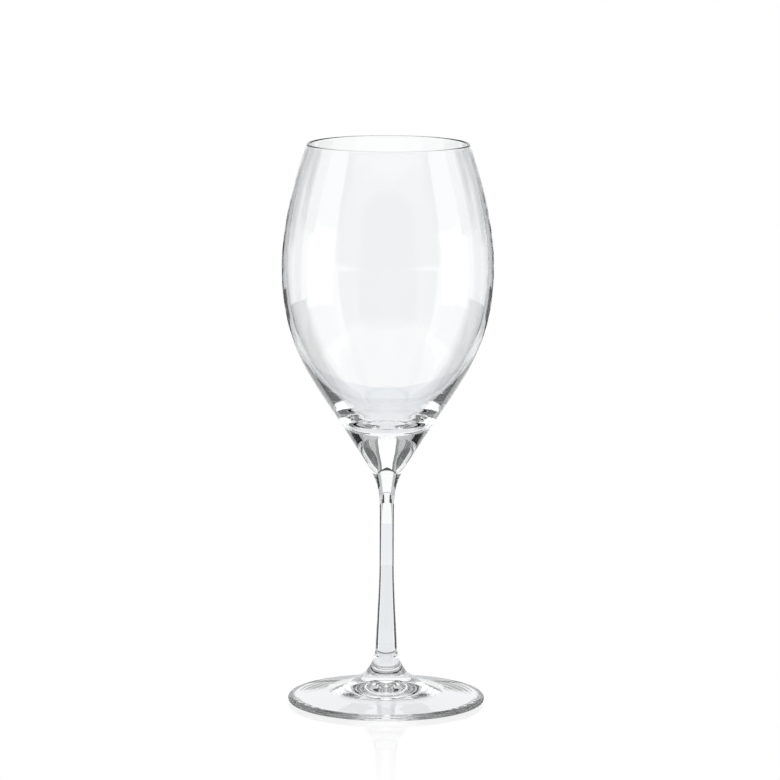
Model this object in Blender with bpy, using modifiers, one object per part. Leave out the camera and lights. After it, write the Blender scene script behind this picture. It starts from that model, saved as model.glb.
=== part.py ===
"""A wine glass of three fused pieces: a blown bowl, a drawn stem and a spun foot.

Metres, +Z up. The glass stands on the plane z = 0, with its axis on the Z axis.
Each piece is a turned solid: a half profile at +X, spun round Z by a Screw modifier.
"""

import math

import bmesh
import bpy
from mathutils import Vector

# Foot
FOOT_DIAMETER = 0.0822
FOOT_HEIGHT = 0.0130  # from the table to the weld with the stem
FOOT_EDGE_THICKNESS = 0.0026
FOOT_SLOPE = math.radians(9.0)  # rise of the upper face, from the edge inwards
FOOT_FLARE_WIDTH = 0.0170  # how far the sweep up to the stem spreads past the weld
FOOT_RING_WIDTH = 0.0030  # flat ring on which the glass rests, inside the round edge
FOOT_HOLLOW_SLOPE = math.radians(10.5)  # rise of the underside, from the ring inwards
FOOT_HOLLOW_DEPTH = 0.0062  # at the rounded middle of the hollow
FOOT_CROWN_RADIUS = 0.0090  # of that rounded middle

# Stem
STEM_LENGTH = 0.1004  # from the weld with the foot to the weld with the bowl
STEM_DIAMETER = 0.0060  # at the waist, the thinnest stretch
STEM_WAIST_LENGTH = 0.0150
STEM_WAIST_HEIGHT = 0.0470  # lower end of the waist, above the weld with the foot
STEM_ANKLE_DIAMETER = 0.0089  # where the taper meets the flare to the foot
STEM_ANKLE_HEIGHT = 0.0110  # above the weld with the foot
STEM_FOOT_WELD_DIAMETER = 0.0162
STEM_CONE_LENGTH = 0.0120  # straight cone below the weld with the bowl

# Bowl
BOWL_HEIGHT = 0.1216  # from the weld with the stem to the rim
BOWL_DIAMETER = 0.0884  # at the widest
BOWL_WIDEST_HEIGHT = 0.0701  # above the weld with the stem
BOWL_WALL = 0.0016  # at the widest
BOWL_WELD_WALL = 0.0066  # that the wall would thicken to, if it ran on down to the weld
BOWL_WALL_GATHER = 4.0  # power of the thickening: the higher, the lower down it starts
BOWL_STEM_WELD_DIAMETER = 0.0326
BOWL_CONE_LEAN = math.radians(32.5)  # of the side at the weld, outwards from the axis
BOWL_FLOOR_THICKNESS = 0.0042  # glass between the weld and the wine
BOWL_FLOOR_REACH = 0.0130  # how far the floor stays nearly flat
BOWL_HEEL_SHARE = 0.86  # of the way from the widest to the weld, where the wall turns into the floor
BOWL_HEEL_ROUND = 0.0036  # softness of that turn
RIM_DIAMETER = 0.0678
RIM_WALL = 0.0013
RIM_LEAN = math.radians(15.5)  # of the side at the rim, inwards to the axis

# How long a curve keeps the direction of its end, as a share of the height that it climbs
RIM_PULL = 0.10
SHOULDER_PULL = 0.44
BELLY_PULL = 0.47
CONE_PULL = 0.38
STEM_NECK_PULL = 0.42
STEM_WAIST_PULL = 0.45
STEM_TAPER_PULL = 0.33
STEM_ANKLE_PULL = 0.40
FOOT_WELD_LEAN = math.radians(36.0)  # of the side at the weld, outwards going down
FOOT_WELD_PULL = 0.60
FOOT_FLARE_PULL = 0.15
FOOT_CROWN_PULL = 0.50

# Making
WELD_GAP = 0.0003  # clearance between two fused faces
MERGE_DISTANCE = 0.00001
SHARP_ANGLE = math.radians(35.0)
BOWL_SIDES = 64
STEM_SIDES = 40
FOOT_SIDES = 64
CURVE_STEPS = 9
BELLY_STEPS = 14
ROUND_STEPS = 6

STEM_BOWL_WELD = FOOT_HEIGHT + STEM_LENGTH  # height of the weld above the table
TOTAL_HEIGHT = STEM_BOWL_WELD + BOWL_HEIGHT

QUARTER_TURN = math.pi / 2.0
OUT = Vector((1.0, 0.0, 0.0))
UP = Vector((0.0, 0.0, 1.0))


def at(radius, height):
    """A point of a half profile."""
    return OUT * radius + UP * height


def leaning(angle):
    """Unit vector that leans outwards from straight up by an angle."""
    return OUT * math.sin(angle) + UP * math.cos(angle)


def curve_point(start, start_pull, end, end_pull, along):
    """The point of a cubic curve at a share of its way. A pull is the vector from an end to its handle."""
    left = 1.0 - along
    return (
        start * left**3
        + (start + start_pull) * 3.0 * left**2 * along
        + (end + end_pull) * 3.0 * left * along**2
        + end * along**3
    )


def curve_side(start, start_pull, end, end_pull, along):
    """The direction of that curve at a share of its way, as a unit vector."""
    left = 1.0 - along
    between_handles = end + end_pull - start - start_pull
    return (start_pull * left**2 + between_handles * 2.0 * left * along - end_pull * along**2).normalized()


def curve(start, start_pull, end, end_pull, steps=CURVE_STEPS):
    """Points of a cubic curve after its start."""
    return [curve_point(start, start_pull, end, end_pull, step / steps) for step in range(1, steps + 1)]


def arc(centre, radius, first_angle, last_angle):
    """Points of a round stretch, ends included. Angles turn from outwards towards up."""
    points = []
    for step in range(ROUND_STEPS + 1):
        angle = first_angle + (last_angle - first_angle) * step / ROUND_STEPS
        points.append(centre + (OUT * math.cos(angle) + UP * math.sin(angle)) * radius)
    return points


def bowl_belly():
    """The outer side from the widest down to the weld: its two ends, each with its pull."""
    widest = at(BOWL_DIAMETER / 2.0, STEM_BOWL_WELD + BOWL_WIDEST_HEIGHT)
    weld = at(BOWL_STEM_WELD_DIAMETER / 2.0, STEM_BOWL_WELD)
    cone_side = leaning(BOWL_CONE_LEAN)
    return widest, UP * BOWL_WIDEST_HEIGHT * -BELLY_PULL, weld, cone_side * BOWL_WIDEST_HEIGHT * CONE_PULL


def bowl_inner_belly():
    """The inner side from the heel up to the widest: the outer side moved in by the wall's thickness."""
    points = []
    for step in range(BELLY_STEPS + 1):
        along = BOWL_HEEL_SHARE * (1.0 - step / BELLY_STEPS)
        down = curve_side(*bowl_belly(), along)
        inwards = OUT * down.z - UP * down.x
        wall = BOWL_WALL + (BOWL_WELD_WALL - BOWL_WALL) * along**BOWL_WALL_GATHER
        points.append(curve_point(*bowl_belly(), along) + inwards * wall)
    return points


def bowl_inside():
    """From the middle of the hollow's floor up to the rim."""
    belly = bowl_inner_belly()
    heel = belly[0]
    widest = belly[-1]
    floor_middle = at(0.0, STEM_BOWL_WELD + BOWL_FLOOR_THICKNESS)
    heel_side = (heel - belly[1]).normalized()
    rim = at(RIM_DIAMETER / 2.0 - RIM_WALL, TOTAL_HEIGHT - RIM_WALL / 2.0)
    shoulder = rim.z - widest.z
    return (
        [floor_middle]
        + curve(floor_middle, OUT * BOWL_FLOOR_REACH, heel, heel_side * BOWL_HEEL_ROUND)
        + belly[1:]
        + curve(widest, UP * shoulder * SHOULDER_PULL, rim, leaning(-RIM_LEAN) * shoulder * -RIM_PULL)
    )


def bowl_rim():
    """Over the fire-polished rim, from the inner side to the outer."""
    centre = at(RIM_DIAMETER / 2.0 - RIM_WALL / 2.0, TOTAL_HEIGHT - RIM_WALL / 2.0)
    return arc(centre, RIM_WALL / 2.0, 2.0 * QUARTER_TURN, 0.0)[1:]


def bowl_outside():
    """From the outer side of the rim down to the weld, then in to the axis."""
    rim = at(RIM_DIAMETER / 2.0, TOTAL_HEIGHT - RIM_WALL / 2.0)
    widest = bowl_belly()[0]
    shoulder = rim.z - widest.z
    return (
        curve(rim, leaning(-RIM_LEAN) * shoulder * -RIM_PULL, widest, UP * shoulder * SHOULDER_PULL)
        + curve(*bowl_belly(), BELLY_STEPS)
        + [at(0.0, STEM_BOWL_WELD)]
    )


def bowl_profile():
    return bowl_inside() + bowl_rim() + bowl_outside()


def stem_profile():
    """The weld face under the bowl, the cone, the waist, the taper and the flare to the foot."""
    top = STEM_BOWL_WELD - WELD_GAP
    bottom = FOOT_HEIGHT + WELD_GAP
    cone_side = leaning(BOWL_CONE_LEAN)
    top_edge = at(BOWL_STEM_WELD_DIAMETER / 2.0 - WELD_GAP * math.tan(BOWL_CONE_LEAN), top)
    cone_end = top_edge - cone_side * (STEM_CONE_LENGTH / math.cos(BOWL_CONE_LEAN))
    waist_top = at(STEM_DIAMETER / 2.0, FOOT_HEIGHT + STEM_WAIST_HEIGHT + STEM_WAIST_LENGTH)
    waist_bottom = at(STEM_DIAMETER / 2.0, FOOT_HEIGHT + STEM_WAIST_HEIGHT)
    ankle = at(STEM_ANKLE_DIAMETER / 2.0, FOOT_HEIGHT + STEM_ANKLE_HEIGHT)
    bottom_edge = at(STEM_FOOT_WELD_DIAMETER / 2.0 - WELD_GAP * math.tan(FOOT_WELD_LEAN), bottom)
    neck = cone_end.z - waist_top.z
    taper = waist_bottom.z - ankle.z
    flare = ankle.z - bottom_edge.z
    taper_side = (waist_bottom - ankle).normalized()
    return (
        [at(0.0, top), top_edge, cone_end]
        + curve(cone_end, cone_side * neck * -STEM_NECK_PULL, waist_top, UP * neck * STEM_WAIST_PULL)
        + [waist_bottom]
        + curve(waist_bottom, UP * taper * -STEM_TAPER_PULL, ankle, taper_side * taper * STEM_TAPER_PULL)
        + curve(
            ankle,
            taper_side * flare * -STEM_ANKLE_PULL,
            bottom_edge,
            leaning(-FOOT_WELD_LEAN) * flare * STEM_ANKLE_PULL,
        )
        + [at(0.0, bottom)]
    )


def foot_profile():
    """The weld face, the sweep to the upper face, the round edge, the flat ring and the hollow."""
    weld = at(STEM_FOOT_WELD_DIAMETER / 2.0, FOOT_HEIGHT)
    edge_radius = FOOT_EDGE_THICKNESS / 2.0
    edge_centre = at(FOOT_DIAMETER / 2.0 - edge_radius, edge_radius)
    edge = arc(edge_centre, edge_radius, QUARTER_TURN - FOOT_SLOPE, -QUARTER_TURN)
    flare_radius = weld.x + FOOT_FLARE_WIDTH
    flare_end = at(flare_radius, edge[0].z + (edge[0].x - flare_radius) * math.tan(FOOT_SLOPE))
    slope_side = leaning(FOOT_SLOPE - QUARTER_TURN)
    flare = weld.z - flare_end.z
    ring_inner = at(edge_centre.x - FOOT_RING_WIDTH, 0.0)
    hollow_side = leaning(FOOT_HOLLOW_SLOPE - QUARTER_TURN)
    hollow_run = (ring_inner.x - FOOT_CROWN_RADIUS) / math.cos(FOOT_HOLLOW_SLOPE)
    crown_edge = ring_inner + hollow_side * hollow_run
    crown_pull = FOOT_CROWN_RADIUS * FOOT_CROWN_PULL
    crown = curve(crown_edge, hollow_side * crown_pull, at(0.0, FOOT_HOLLOW_DEPTH), OUT * crown_pull)
    return (
        [at(0.0, weld.z), weld]
        + curve(
            weld,
            leaning(-FOOT_WELD_LEAN) * flare * -FOOT_WELD_PULL,
            flare_end,
            slope_side * FOOT_FLARE_WIDTH * FOOT_FLARE_PULL,
        )
        + edge
        + [ring_inner, crown_edge]
        + crown
    )


def clear_glass(name, colour, roughness):
    """Smooth clear glass with a slight tint."""
    material = bpy.data.materials.new(name)
    material.use_nodes = True
    shader = material.node_tree.nodes["Principled BSDF"]
    shader.inputs["Base Color"].default_value = (*colour, 1.0)
    shader.inputs["Roughness"].default_value = roughness
    shader.inputs["Metallic"].default_value = 0.0
    shader.inputs["Transmission Weight"].default_value = 1.0
    shader.inputs["IOR"].default_value = 1.52
    return material


def turned_piece(name, profile, sides, material, collection):
    """One named solid: the half profile as a chain of edges, spun round Z."""
    chain = bmesh.new()
    corners = [chain.verts.new(point) for point in profile]
    for upper, lower in zip(corners, corners[1:]):
        chain.edges.new((upper, lower))
    mesh = bpy.data.meshes.new(name)
    chain.to_mesh(mesh)
    chain.free()
    mesh.materials.append(material)
    piece = bpy.data.objects.new(name, mesh)
    collection.objects.link(piece)
    screw = piece.modifiers.new("Turn", "SCREW")
    screw.axis = "Z"
    screw.angle = 2.0 * math.pi
    screw.steps = sides
    screw.render_steps = sides
    screw.use_merge_vertices = True
    screw.merge_threshold = MERGE_DISTANCE
    screw.use_smooth_shade = True
    return piece


def keep_turned_mesh(piece):
    """Replaces the chain and its Screw modifier with the turned mesh, shaded smooth."""
    graph = bpy.context.evaluated_depsgraph_get()
    turned = bpy.data.meshes.new_from_object(piece.evaluated_get(graph))
    chain = piece.data
    piece.modifiers.clear()
    piece.data = turned
    bpy.data.meshes.remove(chain)
    turned.name = piece.name
    turned.shade_smooth()
    turned.set_sharp_from_angle(angle=SHARP_ANGLE)


def clear_scene():
    for leftover in list(bpy.data.objects):
        bpy.data.objects.remove(leftover, do_unlink=True)


def main():
    clear_scene()
    collection = bpy.data.collections.new("wine_glass")
    bpy.context.scene.collection.children.link(collection)
    bowl_glass = clear_glass("bowl_glass", (0.96, 0.97, 0.98), 0.02)
    stem_glass = clear_glass("stem_glass", (0.93, 0.95, 0.97), 0.03)
    foot_glass = clear_glass("foot_glass", (0.94, 0.96, 0.96), 0.03)
    pieces = (
        turned_piece("bowl", bowl_profile(), BOWL_SIDES, bowl_glass, collection),
        turned_piece("stem", stem_profile(), STEM_SIDES, stem_glass, collection),
        turned_piece("foot", foot_profile(), FOOT_SIDES, foot_glass, collection),
    )
    bpy.context.view_layer.update()
    for piece in pieces:
        keep_turned_mesh(piece)


main()
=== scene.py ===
"""The looks of a wine glass: three clear glass pieces, fused end to end, on a white table.

Laid out as a Blender add-on and run as a script. Metres, +Z up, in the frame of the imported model.
"""

import math

import bmesh
import bpy
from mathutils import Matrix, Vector


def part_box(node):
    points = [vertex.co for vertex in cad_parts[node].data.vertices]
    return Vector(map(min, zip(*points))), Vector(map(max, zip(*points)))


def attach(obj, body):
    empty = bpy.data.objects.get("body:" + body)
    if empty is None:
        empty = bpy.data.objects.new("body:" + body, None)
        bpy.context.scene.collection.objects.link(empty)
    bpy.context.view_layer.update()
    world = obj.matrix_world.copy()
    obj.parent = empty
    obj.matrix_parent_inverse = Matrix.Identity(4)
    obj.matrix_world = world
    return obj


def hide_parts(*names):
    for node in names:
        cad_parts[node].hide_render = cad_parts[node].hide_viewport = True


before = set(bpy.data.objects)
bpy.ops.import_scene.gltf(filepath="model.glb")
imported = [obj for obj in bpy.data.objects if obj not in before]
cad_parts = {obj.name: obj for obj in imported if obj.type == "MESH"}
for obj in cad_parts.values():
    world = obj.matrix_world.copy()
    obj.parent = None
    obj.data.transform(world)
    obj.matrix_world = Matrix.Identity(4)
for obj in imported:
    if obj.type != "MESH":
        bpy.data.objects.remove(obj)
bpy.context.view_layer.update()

bl_info = {
    "name": "Wine Glass",
    "version": (1, 0, 0),
    "blender": (4, 5, 0),
    "location": "View3D > Sidebar > Wine Glass",
    "description": "Builds a clear stemmed wine glass and the white table that it stands on",
    "category": "Object",
}

BODY = "root"
QUARTER_TURN = math.pi / 2.0
FULL_TURN = 2.0 * math.pi
OUT = Vector((1.0, 0.0, 0.0))
UP = Vector((0.0, 0.0, 1.0))
ORIGIN = Vector((0.0, 0.0, 0.0))
MERGE_DISTANCE = 0.0000005

# How long a curve keeps the direction of its end, as a share of the height that it climbs
RIM_PULL = 0.10
SHOULDER_PULL = 0.44
BELLY_PULL = 0.47
CONE_PULL = 0.38
NECK_PULL = 0.42
WAIST_PULL = 0.45
TAPER_PULL = 0.33
ANKLE_PULL = 0.40
FOOT_WELD_PULL = 0.60
FLARE_PULL = 0.15
CROWN_PULL = 0.50

# How finely the pieces are turned
BOWL_SIDES = 192
STEM_SIDES = 128
FOOT_SIDES = 192
BELLY_STEPS = 64
INNER_BELLY_STEPS = 56
FLOOR_STEPS = 40
SHOULDER_STEPS = 24
RIM_STEPS = 12
CONE_STEPS = 8
NECK_STEPS = 40
WAIST_STEPS = 4
TAPER_STEPS = 24
ANKLE_STEPS = 24
FLARE_STEPS = 40
SLOPE_STEPS = 12
EDGE_STEPS = 20
RING_STEPS = 2
HOLLOW_STEPS = 16
CROWN_STEPS = 16
SHARP_ANGLE = math.radians(30.0)
SAME_HEIGHT = 0.000001  # two heights that differ by less are one

# Finish
WAVE_STRETCH = (1.0, 1.0, 2.5)
WAVE_SCALE = 60.0
WAVE_DETAIL = 1.0
WAVE_HEIGHT = 0.001

# Room and table
WHITE = (1.0, 1.0, 1.0)
COOL_GREY = (0.965, 0.98, 1.0)
BRIGHT_LEVEL = 0.95  # lights above this are white, and those below it a cool grey
ROOM_RADIUS = 3.0
ROOM_CENTRE = 0.12
SHEET_STEPS = 24
ROOM_SHEET_STEPS = 12
TABLE_RADIUS = 40.0
TABLE_SIDES = 96
MIRROR_ROUGHNESS = 0.02
MIRROR_STRENGTH = 0.16
MIRROR_START = 0.03  # from the axis, where the mirror starts to fade
MIRROR_END = 0.20
LIGHT_BOUNCES = 32
SENSOR_WIDTH = 36.0
CLIP_END = 100.0

BOWL_LOW, BOWL_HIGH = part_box("bowl")
FOOT_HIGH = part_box("foot")[1]
STEM_FOOT_WELD = FOOT_HIGH.z
STEM_BOWL_WELD = BOWL_LOW.z


# ---------------------------------------------------------------- settings


class WineGlassBowlSettings(bpy.types.PropertyGroup):
    """Sizes of the blown bowl."""

    widest_height: bpy.props.FloatProperty(
        name="Widest Height", description="From the weld with the stem up to the widest of the bowl",
        default=0.0701, unit="LENGTH")
    wall: bpy.props.FloatProperty(
        name="Wall", description="Thickness of the glass at the widest", default=0.0016, unit="LENGTH")
    weld_diameter: bpy.props.FloatProperty(
        name="Weld Diameter", description="Of the bowl where it is fused to the stem",
        default=0.0326, unit="LENGTH")
    cone_lean: bpy.props.FloatProperty(
        name="Cone Lean", description="Of the side at the weld, outwards from the axis",
        default=math.radians(32.5), subtype="ANGLE")
    weld_wall: bpy.props.FloatProperty(
        name="Weld Wall", description="What the wall would thicken to, if it ran on down to the weld",
        default=0.0066, unit="LENGTH")
    wall_gather: bpy.props.FloatProperty(
        name="Wall Gather", description="Power of the thickening: the higher, the lower down it starts",
        default=4.0)
    floor_thickness: bpy.props.FloatProperty(
        name="Floor Thickness", description="Glass between the weld and the wine",
        default=0.0042, unit="LENGTH")
    floor_reach: bpy.props.FloatProperty(
        name="Floor Reach", description="How far the floor stays nearly flat",
        default=0.0130, unit="LENGTH")
    heel_share: bpy.props.FloatProperty(
        name="Heel Share", description="Of the way from widest to weld, where wall turns into floor",
        default=0.86, subtype="FACTOR")
    heel_round: bpy.props.FloatProperty(
        name="Heel Round", description="Softness of the turn from wall to floor",
        default=0.0036, unit="LENGTH")
    rim_diameter: bpy.props.FloatProperty(
        name="Rim Diameter", description="Across the outside of the rim", default=0.0678, unit="LENGTH")
    rim_wall: bpy.props.FloatProperty(
        name="Rim Wall", description="Thickness of the fire-polished rim", default=0.0013, unit="LENGTH")
    rim_lean: bpy.props.FloatProperty(
        name="Rim Lean", description="Of the side at the rim, inwards to the axis",
        default=math.radians(15.5), subtype="ANGLE")


class WineGlassStemSettings(bpy.types.PropertyGroup):
    """Sizes of the drawn stem."""

    diameter: bpy.props.FloatProperty(
        name="Diameter", description="At the waist, the thinnest stretch", default=0.0060, unit="LENGTH")
    waist_length: bpy.props.FloatProperty(
        name="Waist Length", description="Of the straight stretch", default=0.0150, unit="LENGTH")
    waist_height: bpy.props.FloatProperty(
        name="Waist Height", description="Lower end of the waist, above the weld with the foot",
        default=0.0470, unit="LENGTH")
    ankle_diameter: bpy.props.FloatProperty(
        name="Ankle Diameter", description="Where the taper meets the flare to the foot",
        default=0.0089, unit="LENGTH")
    ankle_height: bpy.props.FloatProperty(
        name="Ankle Height", description="Of that place, above the weld with the foot",
        default=0.0110, unit="LENGTH")
    cone_length: bpy.props.FloatProperty(
        name="Cone Length", description="Of the straight cone under the bowl",
        default=0.0120, unit="LENGTH")


class WineGlassFootSettings(bpy.types.PropertyGroup):
    """Sizes of the spun foot."""

    weld_diameter: bpy.props.FloatProperty(
        name="Weld Diameter", description="Of the foot where it is fused to the stem",
        default=0.0162, unit="LENGTH")
    weld_lean: bpy.props.FloatProperty(
        name="Weld Lean", description="Of the side at the weld, outwards going down",
        default=math.radians(36.0), subtype="ANGLE")
    edge_thickness: bpy.props.FloatProperty(
        name="Edge Thickness", description="Of the round edge", default=0.0026, unit="LENGTH")
    slope: bpy.props.FloatProperty(
        name="Slope", description="Rise of the upper face, from the edge inwards",
        default=math.radians(9.0), subtype="ANGLE")
    flare_width: bpy.props.FloatProperty(
        name="Flare Width", description="How far the sweep up to the stem spreads past the weld",
        default=0.0170, unit="LENGTH")
    ring_width: bpy.props.FloatProperty(
        name="Ring Width", description="Of the flat ring on which the glass rests",
        default=0.0030, unit="LENGTH")
    hollow_slope: bpy.props.FloatProperty(
        name="Hollow Slope", description="Rise of the underside, from the ring inwards",
        default=math.radians(10.5), subtype="ANGLE")
    crown_radius: bpy.props.FloatProperty(
        name="Crown Radius", description="Of the rounded middle of the hollow",
        default=0.0090, unit="LENGTH")
    hollow_depth: bpy.props.FloatProperty(
        name="Hollow Depth", description="Of the hollow at its middle", default=0.0062, unit="LENGTH")


class WineGlassFinishSettings(bpy.types.PropertyGroup):
    """The glass itself."""

    tint: bpy.props.FloatVectorProperty(
        name="Tint", description="Colour that the clear glass gives to light",
        default=(0.985, 0.992, 0.995), size=3, min=0.0, max=1.0, subtype="COLOR")
    index: bpy.props.FloatProperty(
        name="Refractive Index", description="How strongly the glass bends light", default=1.52)
    ripple: bpy.props.FloatProperty(
        name="Ripple", description="Strength of the faint waves left by blowing and drawing",
        default=0.05, subtype="FACTOR")


class WineGlassStageSettings(bpy.types.PropertyGroup):
    """The table, the light and the camera."""

    table_colour: bpy.props.FloatVectorProperty(
        name="Table Colour", description="Of the white table", default=(1.0, 1.0, 1.0), size=3,
        min=0.0, max=1.0, subtype="COLOR")
    room_level: bpy.props.FloatProperty(
        name="Room Level", description="Brightness of the room round the table", default=0.5)
    camera_distance: bpy.props.FloatProperty(
        name="Camera Distance", description="From the glass's axis, level with the table",
        default=1.964, unit="LENGTH")
    camera_height: bpy.props.FloatProperty(
        name="Camera Height", description="Above the table", default=0.4374, unit="LENGTH")
    camera_pitch: bpy.props.FloatProperty(
        name="Camera Pitch", description="How far the camera looks down", default=math.radians(8.84),
        subtype="ANGLE")
    camera_side: bpy.props.FloatProperty(
        name="Camera Side", description="To the right of the glass's axis", default=0.0011, unit="LENGTH")
    camera_roll: bpy.props.FloatProperty(
        name="Camera Roll", description="Lean of the camera about its own view",
        default=math.radians(0.25), subtype="ANGLE")
    camera_lens: bpy.props.FloatProperty(
        name="Camera Lens", description="Focal length", default=220.4, unit="CAMERA")


# ---------------------------------------------------------------- profiles


def between(first, last, share):
    """The value at a share of the way from the first to the last."""
    return first + (last - first) * share


def at(radius, height):
    """A point of a half profile."""
    return OUT * radius + UP * height


def leaning(angle):
    """Unit vector that leans outwards from straight up by an angle."""
    return OUT * math.sin(angle) + UP * math.cos(angle)


def curve_point(start, start_pull, end, end_pull, along):
    """The point of a cubic curve at a share of its way. A pull is the vector from an end to its handle."""
    left = 1.0 - along
    return (
        start * left**3
        + (start + start_pull) * 3.0 * left**2 * along
        + (end + end_pull) * 3.0 * left * along**2
        + end * along**3
    )


def curve_side(start, start_pull, end, end_pull, along):
    """The direction of that curve at a share of its way, as a unit vector."""
    left = 1.0 - along
    between_handles = end + end_pull - start - start_pull
    return (start_pull * left**2 + between_handles * 2.0 * left * along - end_pull * along**2).normalized()


def curve(start, start_pull, end, end_pull, steps):
    """Points of a cubic curve after its start."""
    return [curve_point(start, start_pull, end, end_pull, step / steps) for step in range(1, steps + 1)]


def arc(centre, radius, first_angle, last_angle, steps):
    """Points of a round stretch, ends included. Angles turn from outwards towards up."""
    points = []
    for step in range(steps + 1):
        angle = first_angle + (last_angle - first_angle) * step / steps
        points.append(centre + (OUT * math.cos(angle) + UP * math.sin(angle)) * radius)
    return points


def inner_belly(bowl, outer_belly, steps):
    """The inner side from the heel up to the widest: the outer side moved in by the wall's thickness."""
    points = []
    for step in range(steps + 1):
        along = bowl.heel_share * (1.0 - step / steps)
        down = curve_side(*outer_belly, along)
        inwards = OUT * down.z - UP * down.x
        wall = between(bowl.wall, bowl.weld_wall, along**bowl.wall_gather)
        points.append(curve_point(*outer_belly, along) + inwards * wall)
    return points


def bowl_profile(bowl):
    """From the middle of the hollow's floor up the inside, over the rim and down to the weld."""
    rim_height = BOWL_HIGH.z - bowl.rim_wall / 2.0
    shoulder = rim_height - STEM_BOWL_WELD - bowl.widest_height
    rim_side = leaning(-bowl.rim_lean) * shoulder * -RIM_PULL
    widest = at(BOWL_HIGH.x, STEM_BOWL_WELD + bowl.widest_height)
    weld = at(bowl.weld_diameter / 2.0, STEM_BOWL_WELD)
    cone_side = leaning(bowl.cone_lean)
    widest_pull = UP * bowl.widest_height * -BELLY_PULL
    outer_belly = (widest, widest_pull, weld, cone_side * bowl.widest_height * CONE_PULL)
    belly = inner_belly(bowl, outer_belly, INNER_BELLY_STEPS)
    heel_side = (belly[0] - belly[1]).normalized()
    floor_middle = at(0.0, STEM_BOWL_WELD + bowl.floor_thickness)
    floor_pull = OUT * bowl.floor_reach
    floor = curve(floor_middle, floor_pull, belly[0], heel_side * bowl.heel_round, FLOOR_STEPS)
    inner_rim = at(bowl.rim_diameter / 2.0 - bowl.rim_wall, rim_height)
    shoulder_pull = UP * shoulder * SHOULDER_PULL
    inner_shoulder = curve(belly[-1], shoulder_pull, inner_rim, rim_side, SHOULDER_STEPS)
    rim_centre = at(bowl.rim_diameter / 2.0 - bowl.rim_wall / 2.0, rim_height)
    rim = arc(rim_centre, bowl.rim_wall / 2.0, 2.0 * QUARTER_TURN, 0.0, RIM_STEPS)[1:]
    outer_shoulder = curve(rim[-1], rim_side, widest, shoulder_pull, SHOULDER_STEPS)
    inside = [floor_middle] + floor + belly[1:] + inner_shoulder
    outside = outer_shoulder + curve(*outer_belly, BELLY_STEPS)
    return inside + rim + outside + [at(0.0, weld.z)]


def stem_profile(stem, bowl, foot):
    """The weld face under the bowl, the cone, the waist, the taper and the flare to the foot."""
    cone_side = leaning(bowl.cone_lean)
    top_edge = at(bowl.weld_diameter / 2.0, STEM_BOWL_WELD)
    cone_end = top_edge - cone_side * (stem.cone_length / math.cos(bowl.cone_lean))
    waist_bottom = at(stem.diameter / 2.0, STEM_FOOT_WELD + stem.waist_height)
    waist_top = waist_bottom + UP * stem.waist_length
    ankle = at(stem.ankle_diameter / 2.0, STEM_FOOT_WELD + stem.ankle_height)
    bottom_edge = at(foot.weld_diameter / 2.0, STEM_FOOT_WELD)
    neck = cone_end.z - waist_top.z
    taper = waist_bottom.z - ankle.z
    flare = ankle.z - bottom_edge.z
    taper_side = (waist_bottom - ankle).normalized()
    ankle_pull = taper_side * flare * -ANKLE_PULL
    foot_side = leaning(-foot.weld_lean)
    return (
        [at(0.0, top_edge.z), top_edge]
        + curve(top_edge, ORIGIN, cone_end, ORIGIN, CONE_STEPS)
        + curve(cone_end, cone_side * neck * -NECK_PULL, waist_top, UP * neck * WAIST_PULL, NECK_STEPS)
        + curve(waist_top, ORIGIN, waist_bottom, ORIGIN, WAIST_STEPS)
        + curve(waist_bottom, UP * taper * -TAPER_PULL, ankle, taper_side * taper * TAPER_PULL, TAPER_STEPS)
        + curve(ankle, ankle_pull, bottom_edge, foot_side * flare * ANKLE_PULL, ANKLE_STEPS)
        + [at(0.0, bottom_edge.z)]
    )


def foot_profile(foot):
    """The weld face, the sweep to the upper face, the round edge, the flat ring and the hollow."""
    weld = at(foot.weld_diameter / 2.0, STEM_FOOT_WELD)
    edge_radius = foot.edge_thickness / 2.0
    edge_centre = at(FOOT_HIGH.x - edge_radius, edge_radius)
    edge = arc(edge_centre, edge_radius, QUARTER_TURN - foot.slope, -QUARTER_TURN, EDGE_STEPS)
    flare_radius = weld.x + foot.flare_width
    flare_end = at(flare_radius, edge[0].z + (edge[0].x - flare_radius) * math.tan(foot.slope))
    flare = weld.z - flare_end.z
    weld_side = leaning(-foot.weld_lean) * flare * -FOOT_WELD_PULL
    slope_side = leaning(foot.slope - QUARTER_TURN) * foot.flare_width * FLARE_PULL
    ring_inner = at(edge_centre.x - foot.ring_width, 0.0)
    hollow_side = leaning(foot.hollow_slope - QUARTER_TURN)
    hollow_crown = at(0.0, foot.hollow_depth)
    hollow_run = (ring_inner.x - foot.crown_radius) / math.cos(foot.hollow_slope)
    crown_edge = ring_inner + hollow_side * hollow_run
    crown_pull = foot.crown_radius * CROWN_PULL
    return (
        [at(0.0, weld.z), weld]
        + curve(weld, weld_side, flare_end, slope_side, FLARE_STEPS)
        + curve(flare_end, ORIGIN, edge[0], ORIGIN, SLOPE_STEPS)
        + edge[1:]
        + curve(edge[-1], ORIGIN, ring_inner, ORIGIN, RING_STEPS)
        + curve(ring_inner, ORIGIN, crown_edge, ORIGIN, HOLLOW_STEPS)
        + curve(crown_edge, hollow_side * crown_pull, hollow_crown, OUT * crown_pull, CROWN_STEPS)
    )


# ---------------------------------------------------------------- materials


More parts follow.
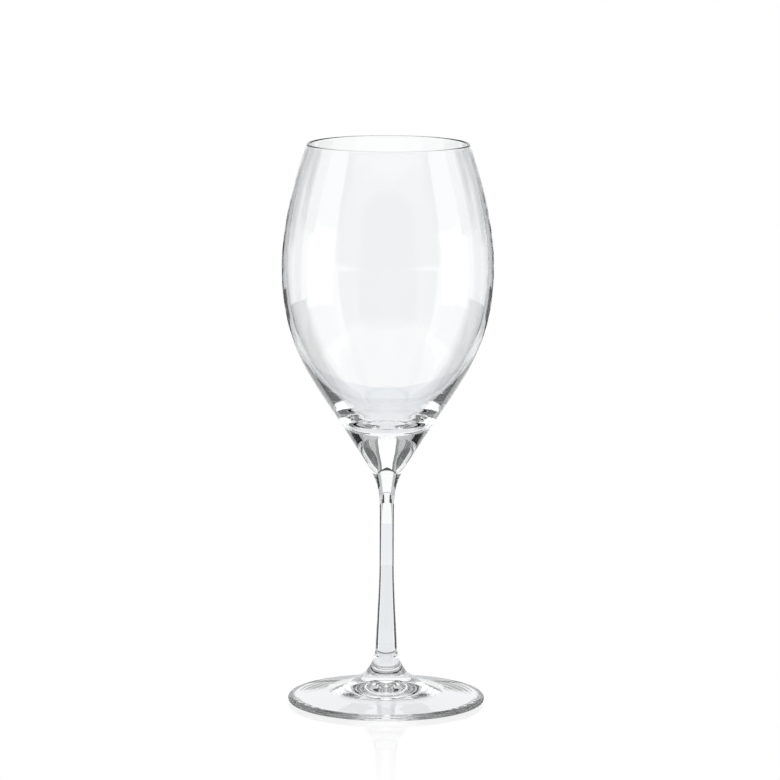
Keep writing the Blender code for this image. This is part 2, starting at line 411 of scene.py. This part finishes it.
def clear_glass(name, finish):
    """Smooth clear glass with the faint waves of blown and drawn glass."""
    material = bpy.data.materials.new(name)
    material.use_nodes = True
    nodes = material.node_tree.nodes
    links = material.node_tree.links
    shader = nodes["Principled BSDF"]
    shader.inputs["Base Color"].default_value = (*finish.tint, 1.0)
    shader.inputs["Roughness"].default_value = 0.0
    shader.inputs["Transmission Weight"].default_value = 1.0
    shader.inputs["IOR"].default_value = finish.index
    place = nodes.new("ShaderNodeTexCoord")
    stretch = nodes.new("ShaderNodeMapping")
    stretch.inputs["Scale"].default_value = WAVE_STRETCH
    waves = nodes.new("ShaderNodeTexNoise")
    waves.inputs["Scale"].default_value = WAVE_SCALE
    waves.inputs["Detail"].default_value = WAVE_DETAIL
    bump = nodes.new("ShaderNodeBump")
    bump.inputs["Strength"].default_value = finish.ripple
    bump.inputs["Distance"].default_value = WAVE_HEIGHT
    links.new(place.outputs["Object"], stretch.inputs["Vector"])
    links.new(stretch.outputs["Vector"], waves.inputs["Vector"])
    links.new(waves.outputs["Fac"], bump.inputs["Height"])
    links.new(bump.outputs["Normal"], shader.inputs["Normal"])
    return material


def fused_face():
    """Where two pieces are one glass: light passes unbent."""
    material = bpy.data.materials.new("fused_face")
    material.use_nodes = True
    nodes = material.node_tree.nodes
    nodes.remove(nodes["Principled BSDF"])
    clear = nodes.new("ShaderNodeBsdfTransparent")
    material.node_tree.links.new(clear.outputs["BSDF"], nodes["Material Output"].inputs["Surface"])
    return material


def glow(name, colour, level):
    """Light of one brightness, as from a softbox or a lit card."""
    material = bpy.data.materials.new(name)
    material.use_nodes = True
    nodes = material.node_tree.nodes
    nodes.remove(nodes["Principled BSDF"])
    light = nodes.new("ShaderNodeEmission")
    light.inputs["Color"].default_value = (*colour, 1.0)
    light.inputs["Strength"].default_value = level
    material.node_tree.links.new(light.outputs["Emission"], nodes["Material Output"].inputs["Surface"])
    return material


# ---------------------------------------------------------------- pieces


def sort_faces(shape):
    """Puts the faces in the order of their corners, because a spin leaves them in a new order on each run."""
    shape.verts.index_update()
    in_order = sorted(shape.faces, key=lambda face: sorted(corner.index for corner in face.verts))
    for number, face in enumerate(in_order):
        face.index = number
    shape.faces.sort()


def turned_piece(name, profile, sides, glass, fused_heights):
    """A half profile spun once round Z. Faces on a weld height take the fused material."""
    shape = bmesh.new()
    corners = [shape.verts.new(point) for point in profile]
    chain = [shape.edges.new(pair) for pair in zip(corners, corners[1:])]
    bmesh.ops.spin(shape, geom=corners + chain, cent=ORIGIN, axis=UP, dvec=ORIGIN,
                   angle=FULL_TURN, steps=sides, use_merge=True, use_duplicate=False)
    bmesh.ops.remove_doubles(shape, verts=shape.verts[:], dist=MERGE_DISTANCE)
    bmesh.ops.recalc_face_normals(shape, faces=shape.faces[:])
    sort_faces(shape)
    mesh = bpy.data.meshes.new(name)
    shape.to_mesh(mesh)
    shape.free()
    mesh.shade_smooth()
    mesh.set_sharp_from_angle(angle=SHARP_ANGLE)
    mesh.materials.append(glass)
    mesh.materials.append(fused_face())
    for face in mesh.polygons:
        low = min(mesh.vertices[corner].co.z for corner in face.vertices)
        high = max(mesh.vertices[corner].co.z for corner in face.vertices)
        for height in fused_heights:
            if abs(low - height) < SAME_HEIGHT and abs(high - height) < SAME_HEIGHT:
                face.material_index = 1
    piece = bpy.data.objects.new(name, mesh)
    bpy.context.scene.collection.objects.link(piece)
    return piece


def sheet(name, width_steps, height_steps, place, material):
    """A sheet of the studio: a grid of quads, each corner placed by its two shares, 0 to 1."""
    shape = bmesh.new()
    bmesh.ops.create_grid(shape, x_segments=width_steps, y_segments=height_steps, size=0.5)
    for corner in shape.verts:
        corner.co = place(corner.co.x + 0.5, corner.co.y + 0.5)
    mesh = bpy.data.meshes.new(name)
    shape.to_mesh(mesh)
    shape.free()
    mesh.materials.append(material)
    made = bpy.data.objects.new(name, mesh)
    bpy.context.scene.collection.objects.link(made)
    made.visible_camera = False


def on_table(azimuth, distance, drop):
    """A point of the table. Azimuth 0 is straight behind the glass, and turns to the right."""
    return Vector((math.sin(azimuth) * distance, math.cos(azimuth) * distance, -drop))


def in_room(azimuth, elevation):
    """A point of the room's walls and ceiling, as the glass sees it."""
    side = math.cos(elevation) * ROOM_RADIUS
    height = ROOM_CENTRE + math.sin(elevation) * ROOM_RADIUS
    return Vector((math.sin(azimuth) * side, math.cos(azimuth) * side, height))


class WINEGLASS_OT_bowl(bpy.types.Operator):
    """Blow the bowl, with its thin wall, fire-polished rim and thick floor"""

    bl_idname = "wineglass.bowl"
    bl_label = "Bowl"

    def execute(self, context):
        scene = context.scene
        glass = clear_glass("bowl_glass", scene.wineglass_finish)
        profile = bowl_profile(scene.wineglass_bowl)
        bowl = turned_piece("blown_bowl", profile, BOWL_SIDES, glass, [STEM_BOWL_WELD])
        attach(bowl, BODY)
        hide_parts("bowl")
        return {"FINISHED"}


class WINEGLASS_OT_stem(bpy.types.Operator):
    """Draw the stem, from its cone under the bowl to its flare on the foot"""

    bl_idname = "wineglass.stem"
    bl_label = "Stem"

    def execute(self, context):
        scene = context.scene
        glass = clear_glass("stem_glass", scene.wineglass_finish)
        profile = stem_profile(scene.wineglass_stem, scene.wineglass_bowl, scene.wineglass_foot)
        stem = turned_piece("drawn_stem", profile, STEM_SIDES, glass, [STEM_BOWL_WELD, STEM_FOOT_WELD])
        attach(stem, BODY)
        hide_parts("stem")
        return {"FINISHED"}


class WINEGLASS_OT_foot(bpy.types.Operator):
    """Spin the foot, with its round edge and shallow hollow underneath"""

    bl_idname = "wineglass.foot"
    bl_label = "Foot"

    def execute(self, context):
        scene = context.scene
        glass = clear_glass("foot_glass", scene.wineglass_finish)
        profile = foot_profile(scene.wineglass_foot)
        foot = turned_piece("spun_foot", profile, FOOT_SIDES, glass, [STEM_FOOT_WELD])
        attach(foot, BODY)
        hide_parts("foot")
        return {"FINISHED"}


def table_material(stage):
    """White, lit from inside as a light table is, with a faint mirror round the foot."""
    material = bpy.data.materials.new("white_table")
    material.use_nodes = True
    nodes = material.node_tree.nodes
    links = material.node_tree.links
    nodes.remove(nodes["Principled BSDF"])
    light = nodes.new("ShaderNodeEmission")
    light.inputs["Color"].default_value = (*stage.table_colour, 1.0)
    light.inputs["Strength"].default_value = 1.0
    mirror = nodes.new("ShaderNodeBsdfGlossy")
    mirror.inputs["Color"].default_value = (*WHITE, 1.0)
    mirror.inputs["Roughness"].default_value = MIRROR_ROUGHNESS
    place = nodes.new("ShaderNodeTexCoord")
    length = nodes.new("ShaderNodeVectorMath")
    length.operation = "LENGTH"
    fade = nodes.new("ShaderNodeMapRange")
    fade.interpolation_type = "SMOOTHSTEP"
    fade.inputs["From Min"].default_value = MIRROR_START
    fade.inputs["From Max"].default_value = MIRROR_END
    fade.inputs["To Min"].default_value = MIRROR_STRENGTH
    fade.inputs["To Max"].default_value = 0.0
    blend = nodes.new("ShaderNodeMixShader")
    links.new(place.outputs["Object"], length.inputs[0])
    links.new(length.outputs["Value"], fade.inputs["Value"])
    links.new(fade.outputs["Result"], blend.inputs["Fac"])
    links.new(light.outputs["Emission"], blend.inputs[1])
    links.new(mirror.outputs["BSDF"], blend.inputs[2])
    links.new(blend.outputs["Shader"], nodes["Material Output"].inputs["Surface"])
    return material


def make_table(stage):
    """The table as the camera sees it. The glass sees the sheets of painted light and shade under it instead.
    """
    mesh = bpy.data.meshes.new("table")
    shape = bmesh.new()
    bmesh.ops.create_circle(shape, cap_ends=True, segments=TABLE_SIDES, radius=TABLE_RADIUS)
    shape.to_mesh(mesh)
    shape.free()
    mesh.materials.append(table_material(stage))
    table = bpy.data.objects.new("table", mesh)
    bpy.context.scene.collection.objects.link(table)
    table.visible_transmission = False
    table.visible_glossy = False
    table.visible_diffuse = False


def make_room(stage):
    """Even light from all round: white to the camera, and the room's own level to the glass."""
    world = bpy.data.worlds.new("room")
    bpy.context.scene.world = world
    world.use_nodes = True
    nodes = world.node_tree.nodes
    links = world.node_tree.links
    seen = nodes["Background"]
    seen.inputs["Color"].default_value = (*WHITE, 1.0)
    seen.inputs["Strength"].default_value = 1.0
    room = nodes.new("ShaderNodeBackground")
    room.inputs["Color"].default_value = (*WHITE, 1.0)
    room.inputs["Strength"].default_value = stage.room_level
    path = nodes.new("ShaderNodeLightPath")
    blend = nodes.new("ShaderNodeMixShader")
    links.new(path.outputs["Is Camera Ray"], blend.inputs["Fac"])
    links.new(room.outputs["Background"], blend.inputs[1])
    links.new(seen.outputs["Background"], blend.inputs[2])
    links.new(blend.outputs["Shader"], nodes["World Output"].inputs["Surface"])


# Painted light and painted shade on the white table, as the glass sees it: each sheet glows at the level of
# light or shade on that stretch of the table.
TABLE_SHEETS = (
    # name, azimuths, distances, level, drop below the table
    ("lit_table", (0.0, 180.0), (0.0, 30.0), 0.58, 0.006),
    ("lit_quarter", (34.0, 59.0), (0.28, 30.0), 0.80, 0.0055),
    ("lit_side", (72.0, 120.0), (0.60, 30.0), 1.25, 0.005),
    ("lit_front", (121.0, 149.0), (0.30, 30.0), 0.82, 0.0045),
    ("far_strip", (0.0, 13.8), (0.90, 30.0), 1.0, 0.003),
    # Painted shade: the white table a little darker round the glass
    ("painted_shade_near", (0.0, 34.0), (0.050, 0.30), 0.84, 0.0016),
    ("painted_shade_middle", (0.0, 34.0), (0.30, 0.42), 0.91, 0.0016),
    # Painted shade: dark bands on the white table behind the glass
    ("painted_shade_bar", (13.8, 22.0), (0.70, 3.2), 0.0, 0.0015),
    ("dark_shade", (22.0, 34.0), (0.70, 1.10), 0.15, 0.0015),
    # Painted shade: dark stretches of the white table beside the glass
    ("painted_shade_side_near", (41.0, 82.0), (0.055, 0.28), 0.02, 0.001),
    ("painted_shade_side_middle", (44.0, 80.0), (0.28, 0.72), 0.02, 0.001),
    # Painted shade under the foot, and a painted contact shadow round the edge of its ring
    ("foot_shade", (0.0, 180.0), (0.0, 0.0385), 0.86, 0.0005),
    ("painted_contact_shadow", (0.0, 180.0), (0.0385, 0.0490), 0.06, 0.0005),
)
ROOM_SHEETS = (
    # name, azimuths, elevations, level
    ("backdrop", (0.0, 20.0), (0.0, 33.0), 1.0),
    ("low_wall", (20.0, 68.0), (0.0, 10.0), 0.55),
    ("middle_wall", (20.0, 34.0), (10.0, 33.0), 0.50),
    ("dark_wall", (34.0, 68.0), (10.0, 36.0), 0.02),
    ("backdrop_top", (0.0, 34.0), (33.0, 37.0), 0.02),
    ("top_light", (0.0, 14.0), (37.0, 88.0), 1.25),
    ("top_gap", (14.0, 22.0), (37.0, 56.0), 0.12),
    ("softbox", (72.0, 120.0), (0.0, 38.0), 1.25),
    ("dark_side", (60.0, 125.0), (42.0, 60.0), 0.12),
    ("front_wall", (121.0, 180.0), (0.0, 28.0), 0.15),
)
STRIP_HALF_WIDTH = 0.235
STRIP_FRONT = -0.3
STRIP_BACK = 0.95
STRIP_DROP = 0.002
SIDES = (("left", -1.0), ("right", 1.0))


def sheet_colour(level):
    """White for the bright lights, and a cool grey for the dim ones."""
    return WHITE if level > BRIGHT_LEVEL else COOL_GREY


def make_sheets():
    """What the glass sees of the table and the room, the same on the left and on the right. The table's
    sheets are painted light and painted shade, the contact shadow round the foot among them.
    """
    def on_strip(along, back):
        across = between(-STRIP_HALF_WIDTH, STRIP_HALF_WIDTH, along)
        return Vector((across, between(STRIP_FRONT, STRIP_BACK, back), -STRIP_DROP))

    sheet("white_strip", 1, 1, on_strip, glow("white_strip_light", WHITE, 1.0))
    for name, azimuths, distances, level, drop in TABLE_SHEETS:
        material = glow(name + "_light", sheet_colour(level), level)
        for side, sign in SIDES:
            first, last = (math.radians(angle) * sign for angle in azimuths)
            near, far = distances

            def place(along, out):
                return on_table(between(first, last, along), between(near, far, out), drop)

            sheet(side + "_" + name, SHEET_STEPS, 1, place, material)
    for name, azimuths, elevations, level in ROOM_SHEETS:
        material = glow(name + "_light", sheet_colour(level), level)
        for side, sign in SIDES:
            first, last = (math.radians(angle) * sign for angle in azimuths)
            low, high = (math.radians(angle) for angle in elevations)

            def place(along, up):
                return in_room(between(first, last, along), between(low, high, up))

            sheet(side + "_" + name, SHEET_STEPS, ROOM_SHEET_STEPS, place, material)


def make_camera(stage):
    """A long lens, a little above the rim and far off, that looks down on the glass."""
    data = bpy.data.cameras.new("camera")
    data.lens = stage.camera_lens
    data.sensor_width = SENSOR_WIDTH
    data.clip_end = CLIP_END
    camera = bpy.data.objects.new("camera", data)
    bpy.context.scene.collection.objects.link(camera)
    camera.location = (stage.camera_side, -stage.camera_distance, stage.camera_height)
    camera.rotation_euler = (QUARTER_TURN - stage.camera_pitch, 0.0, 0.0)
    camera.rotation_euler.rotate_axis("Z", stage.camera_roll)
    bpy.context.scene.camera = camera


class WINEGLASS_OT_stage(bpy.types.Operator):
    """Set out the white table, the soft light and the camera"""

    bl_idname = "wineglass.stage"
    bl_label = "Table, Light and Camera"

    def execute(self, context):
        stage = context.scene.wineglass_stage
        make_table(stage)
        make_room(stage)
        make_sheets()
        make_camera(stage)
        context.scene.view_settings.view_transform = "Standard"
        cycles = context.scene.cycles
        cycles.max_bounces = LIGHT_BOUNCES
        cycles.transmission_bounces = LIGHT_BOUNCES
        cycles.glossy_bounces = LIGHT_BOUNCES
        cycles.transparent_max_bounces = LIGHT_BOUNCES
        cycles.sample_clamp_indirect = 0.0
        return {"FINISHED"}


class WINEGLASS_PT_panel(bpy.types.Panel):
    """Lists the operators"""

    bl_idname = "WINEGLASS_PT_panel"
    bl_label = "Wine Glass"
    bl_space_type = "VIEW_3D"
    bl_region_type = "UI"
    bl_category = "Wine Glass"

    def draw(self, context):
        for operator in OPERATORS:
            self.layout.operator(operator.bl_idname)


SETTINGS = {
    "wineglass_bowl": WineGlassBowlSettings,
    "wineglass_stem": WineGlassStemSettings,
    "wineglass_foot": WineGlassFootSettings,
    "wineglass_finish": WineGlassFinishSettings,
    "wineglass_stage": WineGlassStageSettings,
}
OPERATORS = (WINEGLASS_OT_bowl, WINEGLASS_OT_stem, WINEGLASS_OT_foot, WINEGLASS_OT_stage)


def register():
    for name, group in SETTINGS.items():
        bpy.utils.register_class(group)
        setattr(bpy.types.Scene, name, bpy.props.PointerProperty(type=group))
    for operator in OPERATORS:
        bpy.utils.register_class(operator)
    bpy.utils.register_class(WINEGLASS_PT_panel)


def unregister():
    bpy.utils.unregister_class(WINEGLASS_PT_panel)
    for operator in reversed(OPERATORS):
        bpy.utils.unregister_class(operator)
    for name, group in reversed(SETTINGS.items()):
        delattr(bpy.types.Scene, name)
        bpy.utils.unregister_class(group)


def main():
    register()
    bpy.ops.wineglass.bowl()
    bpy.ops.wineglass.stem()
    bpy.ops.wineglass.foot()
    bpy.ops.wineglass.stage()


if __name__ == "__main__":
    main()
